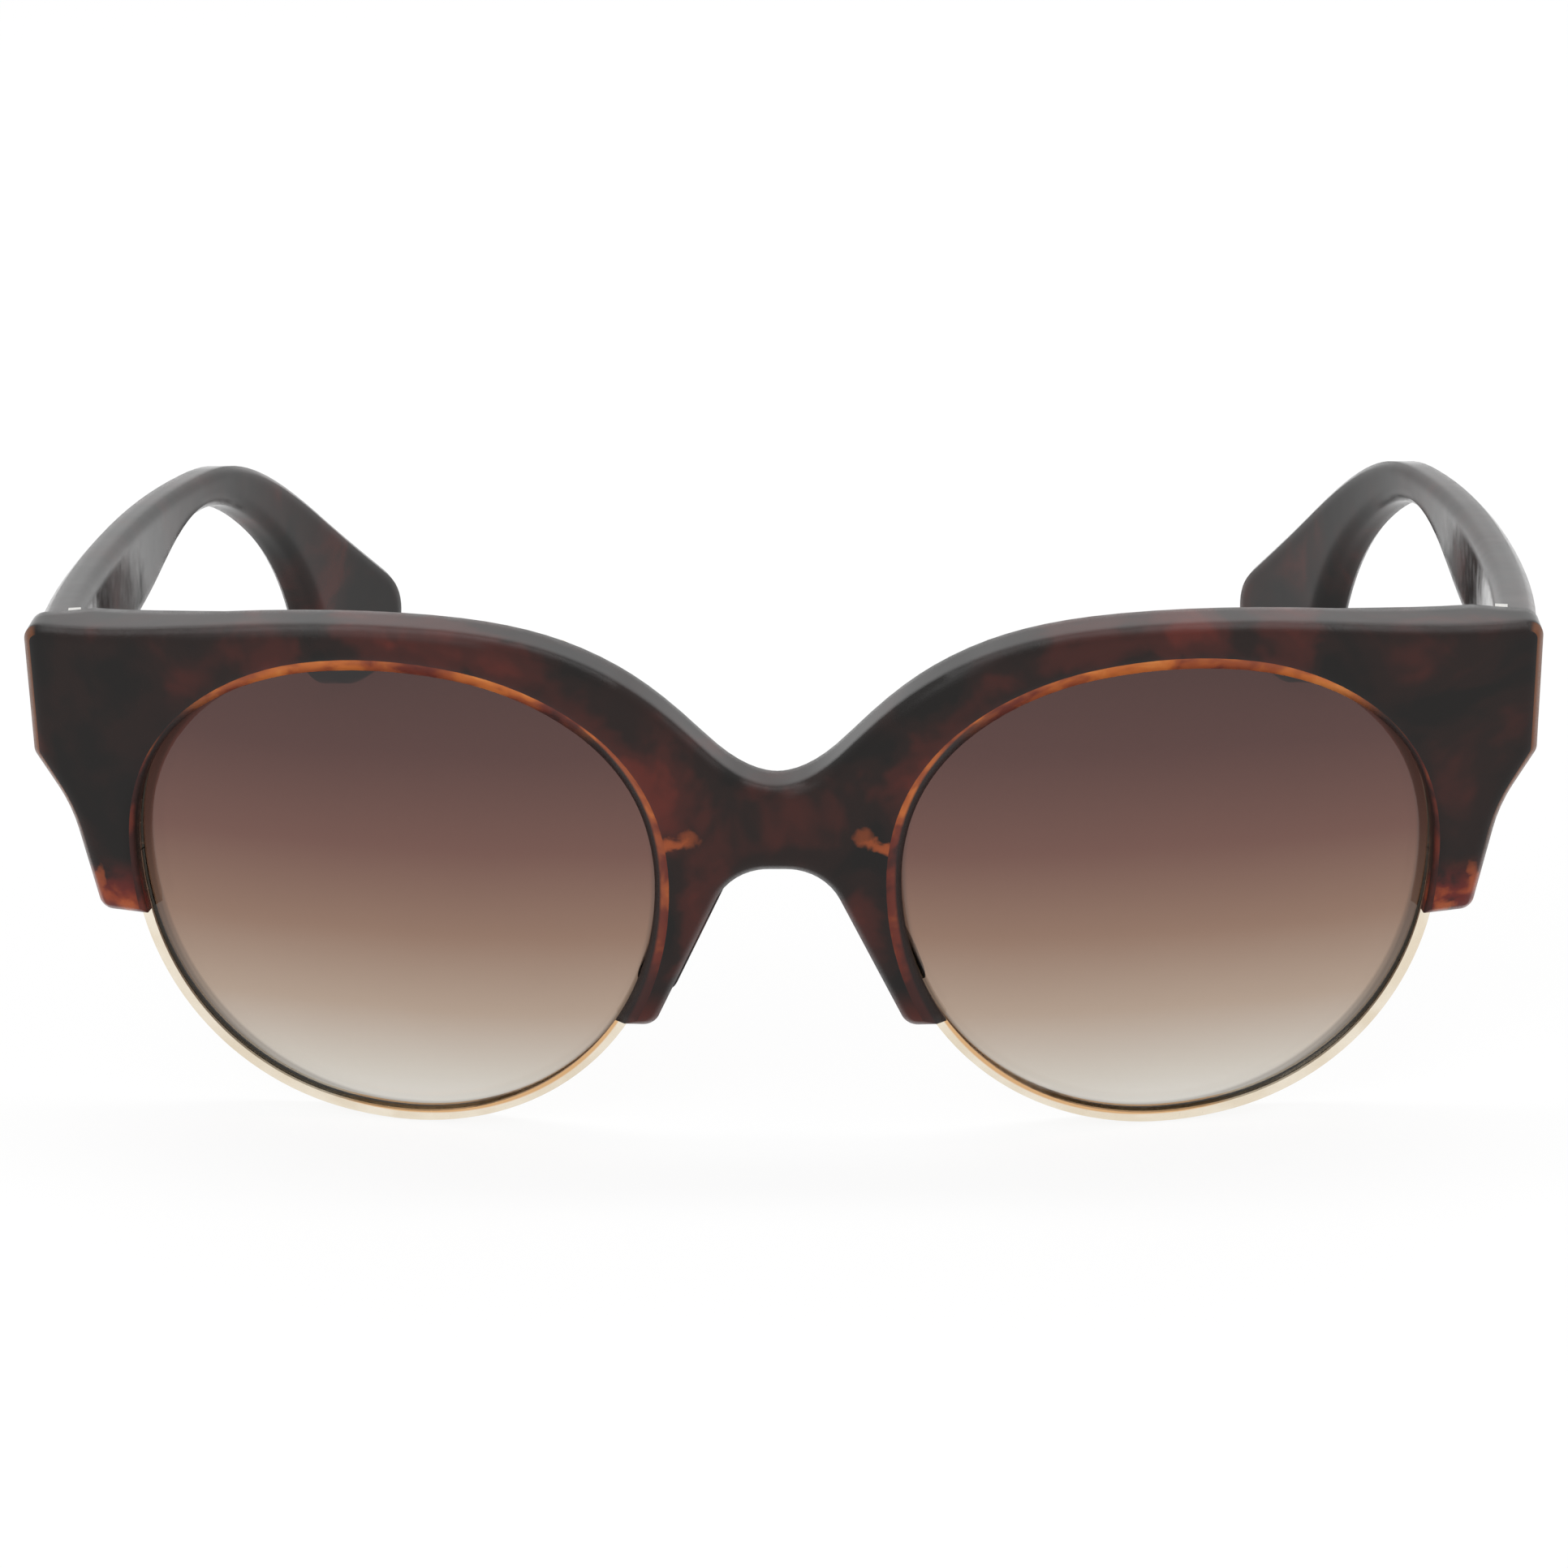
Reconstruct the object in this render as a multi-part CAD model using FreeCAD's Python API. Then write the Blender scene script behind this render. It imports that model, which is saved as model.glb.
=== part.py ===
"""Cat eye sunglasses: an acetate brow front, metal eye rims, lenses and two folding temples.

Frame: +X is the wearer's left, +Y runs back along the temples, +Z is up.
The glasses stand on the two rims and the two temple tips at Z = 0.
Every part of the wearer's left side is modelled, and the right side is its mirror image.
"""
import FreeCAD, Part
import math
import os
from FreeCAD import Placement, Rotation, Vector

# ---- Eyes and front: a sheet of acetate bent round an upright axis ----------------------
EYE_GAP = 10.65
RIM_HALF_WIDTH = 27.0
RIM_HALF_HEIGHT = 25.1
EYE_LIFT = 3.0
END_REACH = 7.95
FRONT_BEND_R = 240.0
SHEET = 5.3
BROW_RISE = 2.9
SHOULDER_OUT = 13.1
SHOULDER_DROP = 0.8
END_DROP = 2.7
END_HEIGHT = 13.2
END_THICK = 3.7
END_CORNER_R = 1.6
BRIDGE_RISE = 9.9
BRIDGE_HEIGHT = 8.4
ARCH_NARROWING = 6.25
ARCH_R = 5.6
NOSE_LEG_OUT = 1.55
NOSE_LEG_DROP = 15.1
NOSE_LEG_R = 1.8
NOTCH_IN = 3.4
NOTCH_DROP = 5.4
NOTCH_R = 14.0
OUTER_LEG_IN = 5.7
OUTER_LEG_DROP = 6.9
OUTER_LEG_R = 1.3
RAMP_IN = 15.6
PEAK_IN = 6.3
PEAK_R = 0.7
FRONT_EDGE = 0.7
REAR_EDGE = 0.5
# The brow's rise from the bridge, as shares of the eye's place and of the rise.
BROW_SHAPE = ((0.105, 0.093), (0.209, 0.325), (0.353, 0.632), (0.55, 0.874), (0.903, 1.0))

# ---- Rim, lens and the opening that shows them ------------------------------------------
UPPER_SQUARE = 2.2
OUTER_SQUARE = 2.15
INNER_SQUARE = 2.02
OUTLINE_POINTS = 12
RIM_WALL = 1.1
RIM_DEPTH = 2.8
RIM_SETBACK = 0.7
GROOVE_DEPTH = 0.45
LENS_BASE_R = 132.5
LENS_THICK = 2.0
LENS_PLAY = 0.04
RIM_PLAY = 0.08
LIP_NOSE = 1.15
LIP_OUTER = 1.15
LIP_TOP = 1.7
LIP_BOTTOM = 1.15
BEVEL_DEPTH = 2.6
BEVEL_NOSE = 4.75
BEVEL_OUTER = 1.7
BEVEL_TOP = 3.25
BEVEL_TOP_SINK = 1.75
BEVEL_SINK = 0.3
BEVEL_BOTTOM = 1.2

# ---- Rim closing block and fixing lugs --------------------------------------------------
SPLIT_DROP = 0.8
SPLIT_GAP = 0.12
BLOCK_WIDTH = 2.3
BLOCK_DEPTH = 2.2
BLOCK_HALF = 2.2
BLOCK_PLAY = 0.15
CLOSING_SCREW_R = 0.6
CLOSING_HEAD_R = 0.95
CLOSING_HEAD = 0.5
LUG_ANGLES = (50.0, 128.0)
LUG_WIDTH = 3.2
LUG_REACH = 4.0
LUG_THICK = 0.9
LUG_SCREW_R = 0.7
LUG_HEAD_R = 1.15
LUG_HEAD = 0.5
LUG_SCREW_LENGTH = 2.6
LUG_PLAY = 0.1
SLOT_WIDTH = 0.3
SLOT_DEPTH = 0.25

# ---- Nose pads ---------------------------------------------------------------------------
PAD_HALF_WIDTH = 2.0
PAD_HALF_HEIGHT = 7.6
PAD_STAND = 4.4
PAD_CROWN_R = 2.9
PAD_OUT = 1.3

# ---- Temples: places along them are measured from the middle of the round tip ------------
TEMPLE_THICK = 4.0
SPLAY = 7.0
TEMPLE_INSET = 0.1
BUTT_GAP = 0.06
TEMPLE_DROP = 2.3
TEMPLE_HEIGHT = 11.2
STRAIGHT = 12.0
TIP_Y = 124.0
TIP_R = 7.4
# How far outside the front's end the outer face runs, and how far before the tip.
PLAN_CURVE = ((2.7, 68.0), (0.0, 35.0), (-7.3, 9.5), (-21.3, -18.0))
TOP_SLOPE = -0.125
TOP_BEND = 34.0
# How far before the tip, and how high as a share of the height at the hinge.
TOP_CURVE = ((25.7, 0.769), (18.0, 0.696), (10.0, 0.572), (3.0, 0.432))
LOWER_CURVE = ((9.5, 0.291), (12.8, 0.428), (20.0, 0.586), (28.0, 0.686), (37.5, 0.730),
               (47.0, 0.717), (56.0, 0.688), (69.0, 0.684), (94.0, 0.734))
TIP_TURN = 15.0
TEMPLE_EDGE = 0.8
CORE_THICK = 1.2
CORE_HEIGHT = 2.0
CORE_PLAY = 0.05
CORE_LINE = ((66.0, 0.786), (38.0, 0.771), (25.0, 0.709), (15.0, 0.574), (7.0, 0.374))

# ---- Hinge: five knuckles on a screw ------------------------------------------------------
HINGE_RAISE = 0.5
PIVOT_GAP = 1.9
KNUCKLE_R = 1.5
KNUCKLE_HEIGHT = 1.5
KNUCKLE_GAP = 0.05
KNUCKLES = 5
PLATE_THICK = 1.2
FRONT_PLATE_SINK = 0.7
FRONT_PLATE_IN = 2.6
FRONT_PLATE_OUT = 1.4
PLATE_HALF_HEIGHT = 4.4
TEMPLE_PLATE_FRONT = 1.4
TEMPLE_PLATE_BACK = 7.0
ANCHOR_R = 0.6
ANCHOR_DEEP = 1.4
ANCHOR_RISE = 3.4
HINGE_SCREW_R = 0.7
SCREW_FIT = 0.02
RUNNING_FIT = 0.04
HINGE_HEAD_R = 1.1
HINGE_HEAD = 0.6
SCREW_TAIL = 0.3

# ---- Places worked out from the sizes -----------------------------------------------------
REACH = 200.0
EYE_X = EYE_GAP + RIM_HALF_WIDTH
EYE_Z = RIM_HALF_HEIGHT + EYE_LIFT
EYE_ABOVE = RIM_HALF_HEIGHT - EYE_LIFT
EYE_BELOW = RIM_HALF_HEIGHT + EYE_LIFT
HALF_WIDTH = EYE_X + RIM_HALF_WIDTH + END_REACH
BROW_TOP = RIM_HALF_HEIGHT * 2 + BROW_RISE
END_TOP = BROW_TOP - END_DROP
END_BOTTOM = END_TOP - END_HEIGHT
BRIDGE_TOP = EYE_Z + BRIDGE_RISE
ARCH_TOP = BRIDGE_TOP - BRIDGE_HEIGHT
ARCH_HALF = EYE_GAP - ARCH_NARROWING
NOSE_LEG_X = EYE_GAP + NOSE_LEG_OUT
NOSE_LEG_TIP = EYE_Z - NOSE_LEG_DROP
RAMP_X = HALF_WIDTH - RAMP_IN
PEAK_X = HALF_WIDTH - PEAK_IN
TEMPLE_TOP = END_TOP - TEMPLE_DROP
HINGE_Z = TEMPLE_TOP - TEMPLE_HEIGHT / 2 + HINGE_RAISE


def bend_depth(x, radius=FRONT_BEND_R):
    """How far the bent sheet has swept back at x."""
    return FRONT_BEND_R - math.sqrt(radius ** 2 - x ** 2)


BUTT_Y = bend_depth(HALF_WIDTH) + END_THICK
PEAK_Y = BUTT_Y + (HALF_WIDTH - PEAK_X) * math.tan(math.radians(SPLAY))
ALONG = Vector(math.sin(math.radians(SPLAY)), math.cos(math.radians(SPLAY)), 0)
OUTWARD = Vector(math.cos(math.radians(SPLAY)), -math.sin(math.radians(SPLAY)), 0)
BUTT_CORNER = Vector(HALF_WIDTH, BUTT_Y, 0) - OUTWARD * TEMPLE_INSET
PIVOT = BUTT_CORNER - OUTWARD * (PIVOT_GAP + TEMPLE_THICK) + ALONG * PIVOT_GAP
HINGE_FRAME = Placement(PIVOT + Vector(0, 0, HINGE_Z), Rotation(Vector(0, 0, 1), -SPLAY))
WRAP = math.degrees(math.asin(EYE_X / FRONT_BEND_R))
EYE_FRAME = Placement(Vector(EYE_X, bend_depth(EYE_X), EYE_Z), Rotation(Vector(0, 0, 1), WRAP))


# ---- Shape helpers -----------------------------------------------------------------------------
def placed(shape, frame):
    """A copy of shape, moved from its own frame into the glasses' frame."""
    return shape.transformed(frame.toMatrix(), True)


def line(start, end):
    return Part.LineSegment(start, end).toShape()


def spline(points, start, end):
    """The even cubic curve through points that leaves along start and arrives along end."""
    spans = [first.distanceToPoint(second) for first, second in zip(points, points[1:])]
    rates = [start * (1 / start.Length)]
    ratios = [0.0]
    for i in range(1, len(points) - 1):
        before, after = spans[i - 1], spans[i]
        pull = (points[i] - points[i - 1]) * (3 * after / before)
        pull += (points[i + 1] - points[i]) * (3 * before / after)
        weight = 2 * (before + after) - after * ratios[-1]
        rates.append((pull - rates[-1] * after) * (1 / weight))
        ratios.append(before / weight)
    rates.append(end * (1 / end.Length))
    for i in range(len(points) - 2, 0, -1):
        rates[i] = rates[i] - rates[i + 1] * ratios[i]
    poles = [points[0]]
    for i, span in enumerate(spans):
        poles += [points[i] + rates[i] * (span / 3), points[i + 1] - rates[i + 1] * (span / 3)]
        poles.append(points[i + 1])
    knots = [sum(spans[:i]) for i in range(len(points))]
    curve = Part.BSplineCurve()
    curve.buildFromPolesMultsKnots(poles, [4] + [3] * (len(points) - 2) + [4], knots, False, 3)
    for i in range(2, len(points)):
        curve.removeKnot(i, 1, 1e-6)
    return curve.toShape()


def rounded_path(corners):
    """Straight runs between (point, radius) corners, joined by tangent arcs."""
    edges = []
    start = corners[0][0]
    for (before, _), (corner, radius), (after, _) in zip(corners, corners[1:], corners[2:]):
        if radius == 0:
            edges.append(line(start, corner))
            start = corner
            continue
        back = (before - corner).normalize()
        ahead = (after - corner).normalize()
        half = back.getAngle(ahead) / 2
        first = corner + back * (radius / math.tan(half))
        last = corner + ahead * (radius / math.tan(half))
        middle = corner + (back + ahead).normalize() * (radius / math.sin(half) - radius)
        if start.distanceToPoint(first) > 1e-6:
            edges.append(line(start, first))
        edges.append(Part.Arc(first, middle, last).toShape())
        start = last
    edges.append(line(start, corners[-1][0]))
    return edges


def prism(edges, direction):
    """The solid swept by the closed outline of edges along direction."""
    return Part.Face(Part.Wire(Part.__sortEdges__(edges))).extrude(direction)


def box(low, high):
    """A block between two opposite corners."""
    size = Vector(*high) - Vector(*low)
    return Part.makeBox(size.x, size.y, size.z, Vector(*low))


def post(radius, start, end):
    """A round bar between two points."""
    reach = Vector(*end) - Vector(*start)
    return Part.makeCylinder(radius, reach.Length, Vector(*start), reach)


def curve_points(edge, count):
    """Points and directions at even steps along an edge."""
    first, last = edge.ParameterRange
    steps = [first + (last - first) * i / (count - 1) for i in range(count)]
    return [(edge.valueAt(step), edge.tangentAt(step)) for step in steps]


def beside(edge, distance, normal, count=9):
    """The curve that runs a fixed distance beside an edge, to the left about normal."""
    samples = curve_points(edge, count)
    points = [point + normal.cross(along) * distance for point, along in samples]
    return spline(points, samples[0][1], samples[-1][1])


# ---- Front ---------------------------------------------------------------------------------------
def brow_line():
    """The brow's upper edge, from the middle of the bridge to the end's top corner."""
    rise = BROW_TOP - BRIDGE_TOP
    points = [Vector(0, 0, BRIDGE_TOP)]
    for across, up in BROW_SHAPE:
        points.append(Vector(across * EYE_X, 0, BRIDGE_TOP + up * rise))
    points.append(Vector(EYE_X + SHOULDER_OUT, 0, BROW_TOP - SHOULDER_DROP))
    points.append(Vector(HALF_WIDTH - END_CORNER_R, 0, END_TOP))
    return spline(points, Vector(1, 0, 0), Vector(1, 0, 0))


def lower_line():
    """The front's outline from the end's top corner down and back to the middle of the arch.

    The run between the two legs lies inside the eye opening, which is cut away later.
    """
    leg_x, leg_tip = HALF_WIDTH - OUTER_LEG_IN, EYE_Z - OUTER_LEG_DROP
    corners = [
        (Vector(HALF_WIDTH - END_CORNER_R, 0, END_TOP), 0),
        (Vector(HALF_WIDTH, 0, END_TOP), END_CORNER_R),
        (Vector(HALF_WIDTH, 0, END_BOTTOM), OUTER_LEG_R),
        (Vector(HALF_WIDTH - NOTCH_IN, 0, END_BOTTOM - NOTCH_DROP), NOTCH_R),
        (Vector(leg_x, 0, leg_tip), OUTER_LEG_R),
        (Vector(EYE_X + RIM_HALF_WIDTH * 0.8, 0, leg_tip), 0),
        (Vector(EYE_X - RIM_HALF_WIDTH * 0.75, 0, NOSE_LEG_TIP), 0),
        (Vector(NOSE_LEG_X, 0, NOSE_LEG_TIP), NOSE_LEG_R),
        (Vector(ARCH_HALF, 0, ARCH_TOP), ARCH_R),
        (Vector(0, 0, ARCH_TOP), 0),
    ]
    return rounded_path(corners)


def bent_band():
    """The bent sheet seen from above, with its thicker ends cut square to the temples."""
    outer_x = HALF_WIDTH + SHEET
    butt_out = BUTT_Y - SHEET * math.tan(math.radians(SPLAY))
    ramp_y = bend_depth(RAMP_X, FRONT_BEND_R - SHEET)
    half = [
        (Vector(RAMP_X, ramp_y, 0), 0),
        (Vector(PEAK_X, PEAK_Y, 0), PEAK_R),
        (Vector(outer_x, butt_out, 0), 0),
        (Vector(outer_x, bend_depth(outer_x), 0), 0),
    ]
    side = rounded_path(half)
    other = [edge.mirror(Vector(), Vector(1, 0, 0)) for edge in side]
    front = Part.Arc(
        Vector(-outer_x, bend_depth(outer_x), 0), Vector(), Vector(outer_x, bend_depth(outer_x), 0))
    rear = Part.Arc(Vector(-RAMP_X, ramp_y, 0), Vector(0, SHEET, 0), Vector(RAMP_X, ramp_y, 0))
    return prism(side + other + [front.toShape(), rear.toShape()], Vector(0, 0, REACH))


def outer_edges(shape, radius, keep_x):
    """The edges of shape on the upright cylinder of this radius, outside the eye openings."""
    found = []
    for edge in shape.Edges:
        middle = edge.valueAt((edge.FirstParameter + edge.LastParameter) / 2)
        ends = [vertex.Point for vertex in edge.Vertexes] + [middle]
        on_sheet = all(
            abs(math.hypot(p.x, p.y - FRONT_BEND_R) - radius) < 1e-3 for p in ends)
        inside = abs(middle.x - EYE_X) < RIM_HALF_WIDTH * 0.4 and middle.z < EYE_Z
        if on_sheet and not inside and 1e-3 < middle.x < keep_x - 1e-3:
            found.append(edge)
    return found


def front_blank():
    """The wearer's left half of the front before its openings are cut, with its edges eased."""
    middle = line(Vector(0, 0, ARCH_TOP), Vector(0, 0, BRIDGE_TOP))
    half = [brow_line(), middle] + lower_line()
    slab = prism(half, Vector(0, REACH, 0)).common(bent_band())
    slab = slab.makeChamfer(FRONT_EDGE, outer_edges(slab, FRONT_BEND_R, HALF_WIDTH + 1))
    return slab.makeChamfer(REAR_EDGE, outer_edges(slab, FRONT_BEND_R - SHEET, RAMP_X))


# ---- Eye outline and its solids (in the eye's frame: X outward, Y back, Z up) ------------------------
def tangent_arcs(start, leave, end, arrive):
    """Two arcs from start to end that meet smoothly and keep both end directions."""
    gap = end - start
    pull = gap.dot(leave + arrive)
    spread = 2 - 2 * leave.dot(arrive)
    reach = (math.sqrt(pull ** 2 + spread * gap.dot(gap)) - pull) / spread
    joint = (start + end + (leave - arrive) * reach) * 0.5
    arcs = []
    for first, last, way in ((start, joint, leave), (joint, end, arrive * -1)):
        base, tip = (first, last) if way is leave else (last, first)
        chord = tip - base
        bulge = way - chord * (way.dot(chord) / chord.dot(chord))
        sagitta = chord.Length / 2 * math.tan(way.getAngle(chord) / 2)
        middle = (base + tip) * 0.5 + bulge * (sagitta / bulge.Length)
        arcs.append(Part.Arc(first, middle, last).toShape())
    return arcs


def eye_outline(nose, outer, top, bottom, grow=0.0, y=0.0):
    """The closed eye curve with these reaches from its centre, grown by grow along its normals."""
    stops = []
    for i in range(OUTLINE_POINTS):
        turn = 2 * math.pi * i / OUTLINE_POINTS
        across, up = round(math.cos(turn), 9), round(math.sin(turn), 9)
        wide = outer if across >= 0 else nose
        high = top if up >= 0 else bottom
        square = UPPER_SQUARE if up >= 0 else (OUTER_SQUARE if across >= 0 else INNER_SQUARE)
        x = math.copysign(abs(across) ** (2 / square), across) * wide
        z = math.copysign(abs(up) ** (2 / square), up) * high
        normal = Vector(math.copysign(abs(x / wide) ** (square - 1), x) / wide, 0,
                        math.copysign(abs(z / high) ** (square - 1), z) / high).normalize()
        stops.append((Vector(x, y, z) + normal * grow, Vector(-normal.z, 0, normal.x)))
    edges = []
    for (start, leave), (end, arrive) in zip(stops, stops[1:] + stops[:1]):
        edges += tangent_arcs(start, leave, end, arrive)
    return Part.Wire(edges)


def rim_wire(grow, y=0.0):
    return eye_outline(RIM_HALF_WIDTH, RIM_HALF_WIDTH, EYE_ABOVE, EYE_BELOW, grow, y)


def eye_prism(wire, depth=REACH):
    return Part.Face(wire).extrude(Vector(0, depth, 0))


def behind_dome(depth):
    """All that lies behind the lens-curved surface, depth behind the rim's front face."""
    radius = LENS_BASE_R - depth
    return Part.makeSphere(radius, Vector(0, RIM_SETBACK + LENS_BASE_R, -EYE_LIFT))


def dome_slice(near, far):
    """The curved layer between two depths behind the rim's front face."""
    return behind_dome(near).cut(behind_dome(far))


def lip_reaches(sink=0.0, top_sink=0.0):
    """Reaches of the acetate opening behind its bevel: smaller than the rim, to cover it."""
    return (RIM_HALF_WIDTH - LIP_NOSE - sink, RIM_HALF_WIDTH - LIP_OUTER - sink,
            EYE_ABOVE - LIP_TOP - top_sink, EYE_BELOW - LIP_BOTTOM - sink)


def eye_cutter():
    """The opening in the front: polished bevel, lip and the seat for the rim behind it."""
    nose, outer, top, bottom = lip_reaches(BEVEL_SINK, BEVEL_TOP_SINK)
    rear = eye_outline(nose, outer, top, bottom, 0.0, BEVEL_DEPTH)
    wide = (nose + BEVEL_NOSE, outer + BEVEL_OUTER, top + BEVEL_TOP, bottom + BEVEL_BOTTOM)
    bevel = Part.makeLoft([eye_outline(*wide), rear], True, True)
    entry = eye_prism(eye_outline(*wide, 0.0, -SHEET), SHEET)
    through = eye_prism(eye_outline(*lip_reaches(), 0.0, -SHEET))
    seat = eye_prism(rim_wire(RIM_PLAY, -SHEET)).common(behind_dome(0))
    return [bevel, entry, through, seat]


def lens_layer(play):
    """The curved layer the lens fills in the middle of the rim's depth, eased by play."""
    half = LENS_THICK / 2 + play
    return dome_slice(RIM_DEPTH / 2 - half, RIM_DEPTH / 2 + half)


def lens():
    """A gradient-tinted lens: a domed disc whose edge sits in the rim's groove."""
    disc = eye_prism(rim_wire(GROOVE_DEPTH - RIM_WALL - LENS_PLAY, -SHEET), REACH / 4)
    return disc.common(lens_layer(0.0))


def dome_y(x, z, depth):
    """Where the curved layer lies at x and z, depth behind the rim's front face."""
    radius = LENS_BASE_R - depth
    return RIM_SETBACK + LENS_BASE_R - math.sqrt(radius ** 2 - x ** 2 - (z + EYE_LIFT) ** 2)


def block_centre():
    """The middle of the closing block: outside the rim's split, level with the rim's depth."""
    x = RIM_HALF_WIDTH + BLOCK_WIDTH / 2
    y = dome_y(RIM_HALF_WIDTH, -SPLIT_DROP, RIM_DEPTH / 2)
    return Vector(x, y, -SPLIT_DROP)


def block_solid(play):
    """The closing block, or with play its pocket in the acetate."""
    centre = block_centre()
    low = (centre.x - BLOCK_WIDTH / 2 - RIM_WALL / 2, centre.y - BLOCK_DEPTH / 2 - play,
           centre.z - BLOCK_HALF - play)
    high = (centre.x + BLOCK_WIDTH / 2 + play, centre.y + BLOCK_DEPTH / 2 + play,
            centre.z + BLOCK_HALF + play)
    return box(low, high)


def block_pocket():
    """The pocket behind the outer leg, open to the rear and to the screw's head."""
    centre = block_centre()
    room = BLOCK_HALF + CLOSING_HEAD + BLOCK_PLAY
    low = (centre.x - BLOCK_WIDTH / 2 - RIM_WALL / 2, centre.y - BLOCK_DEPTH / 2 - BLOCK_PLAY,
           centre.z - BLOCK_HALF - BLOCK_PLAY)
    high = (centre.x + BLOCK_WIDTH / 2 + BLOCK_PLAY, centre.y + SHEET * 2, centre.z + room)
    return box(low, high)


def lug_frame(angle):
    """A frame on the rim at this angle: X outward from the eye's centre, Y back."""
    return Placement(Vector(), Rotation(Vector(0, 1, 0), -angle))


def rim_reach(angle):
    """The rim's outer reach from the eye's centre at this angle above the horizontal."""
    turn = math.radians(angle)
    across = abs(math.cos(turn) / RIM_HALF_WIDTH) ** UPPER_SQUARE
    up = abs(math.sin(turn) / EYE_ABOVE) ** UPPER_SQUARE
    return (across + up) ** (-1 / UPPER_SQUARE)


def lug_seat(angle):
    """The depth of the face on which a lug lies, just inside the sheet's rear face."""
    reach = rim_reach(angle) * math.cos(math.radians(angle))
    return SHEET + reach ** 2 / (2 * FRONT_BEND_R) - LUG_THICK / 2


def lug(angle, play, deep):
    """A rounded tab from the rim out over the acetate, in the eye's frame."""
    reach = rim_reach(angle)
    half = LUG_WIDTH / 2 + play
    seat = lug_seat(angle)
    tab = box((reach - RIM_WALL / 2, seat, -half), (reach + LUG_REACH - LUG_WIDTH / 2, seat + deep, half))
    end = post(half, (reach + LUG_REACH - LUG_WIDTH / 2, seat, 0),
               (reach + LUG_REACH - LUG_WIDTH / 2, seat + deep, 0))
    return placed(tab.fuse(end), lug_frame(angle))


def lug_hole(angle, radius, start, end):
    """A round bar on the lug's screw axis, between two depths from its seat."""
    x = rim_reach(angle) + LUG_REACH - LUG_WIDTH / 2
    seat = lug_seat(angle)
    return placed(post(radius, (x, seat + start, 0), (x, seat + end, 0)), lug_frame(angle))


def rim():
    """The split metal rim with its lens groove, closing block and two fixing lugs."""
    ring = eye_prism(rim_wire(0.0, -SHEET), REACH / 4).cut(eye_prism(rim_wire(-RIM_WALL, -SHEET)))
    ring = ring.common(dome_slice(0.0, RIM_DEPTH))
    ring = ring.fuse(block_solid(0.0))
    for angle in LUG_ANGLES:
        ring = ring.fuse(lug(angle, 0.0, LUG_THICK))
        ring = ring.cut(lug_hole(angle, LUG_SCREW_R + SCREW_FIT, -SHEET, SHEET))
    groove = eye_prism(rim_wire(GROOVE_DEPTH - RIM_WALL, -SHEET), REACH / 4)
    ring = ring.cut(groove.common(lens_layer(LENS_PLAY)))
    ring = ring.cut(eye_prism(rim_wire(-RIM_WALL, -SHEET), REACH / 4))
    centre = block_centre()
    split = box((RIM_HALF_WIDTH / 2, -SHEET, centre.z - SPLIT_GAP / 2),
                (REACH, REACH, centre.z + SPLIT_GAP / 2))
    ring = ring.cut(split)
    bore = post(CLOSING_SCREW_R + SCREW_FIT, (centre.x, centre.y, centre.z - BLOCK_HALF * 2),
                (centre.x, centre.y, centre.z + BLOCK_HALF * 2))
    return ring.cut(bore)


def slotted_head(radius, height, top, axis):
    """A round screw head whose top face is at the point top, slotted across, along axis."""
    head = Part.makeCylinder(radius, height, top - axis * height, axis)
    across = axis.cross(Vector(1, 0, 0)) if abs(axis.x) < 0.5 else axis.cross(Vector(0, 1, 0))
    third = axis.cross(across)
    corner = top - axis * SLOT_DEPTH - across * (SLOT_WIDTH / 2) - third * (radius * 2)
    slot = Part.Face(Part.makePolygon([
        corner, corner + across * SLOT_WIDTH, corner + across * SLOT_WIDTH + third * (radius * 4),
        corner + third * (radius * 4), corner])).extrude(axis * (SLOT_DEPTH * 2))
    return head.cut(slot)


def closing_screw():
    """The screw that draws the rim's split shut."""
    centre = block_centre()
    top = centre + Vector(0, 0, BLOCK_HALF + CLOSING_HEAD)
    shank = post(CLOSING_SCREW_R, (centre.x, centre.y, centre.z - BLOCK_HALF),
                 (centre.x, centre.y, centre.z + BLOCK_HALF))
    return shank.fuse(slotted_head(CLOSING_HEAD_R, CLOSING_HEAD, top, Vector(0, 0, 1)))


def fixing_screws():
    """The screws that hold the rim's lugs to the back of the front."""
    screws = []
    for angle in LUG_ANGLES:
        x = rim_reach(angle) + LUG_REACH - LUG_WIDTH / 2
        top = Vector(x, lug_seat(angle) + LUG_THICK + LUG_HEAD, 0)
        head = placed(slotted_head(LUG_HEAD_R, LUG_HEAD, top, Vector(0, 1, 0)), lug_frame(angle))
        shank = lug_hole(angle, LUG_SCREW_R, -LUG_SCREW_LENGTH, LUG_THICK)
        screws.append(head.fuse(shank))
    return Part.makeCompound(screws)


# ---- Hinge (in its frame: X outward, Y back along the temple, Z up, origin on the pivot) ----------------
def knuckle_span(index):
    """The lower and upper Z of one knuckle."""
    low = -KNUCKLES * KNUCKLE_HEIGHT / 2 + index * KNUCKLE_HEIGHT
    return low + KNUCKLE_GAP / 2, low + KNUCKLE_HEIGHT - KNUCKLE_GAP / 2


def knuckles(indices, arm_low, arm_high, bore):
    """Barrel pieces at these places, each with an arm to its plate, bored for the screw."""
    pieces = []
    for index in indices:
        low, high = knuckle_span(index)
        barrel = post(KNUCKLE_R, (0, 0, low), (0, 0, high))
        arm = box((arm_low[0], arm_low[1], low), (arm_high[0], arm_high[1], high))
        pieces.append(barrel.fuse(arm))
    pin_hole = post(bore, (0, 0, -REACH), (0, 0, REACH))
    return [piece.cut(pin_hole) for piece in pieces]


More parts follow.
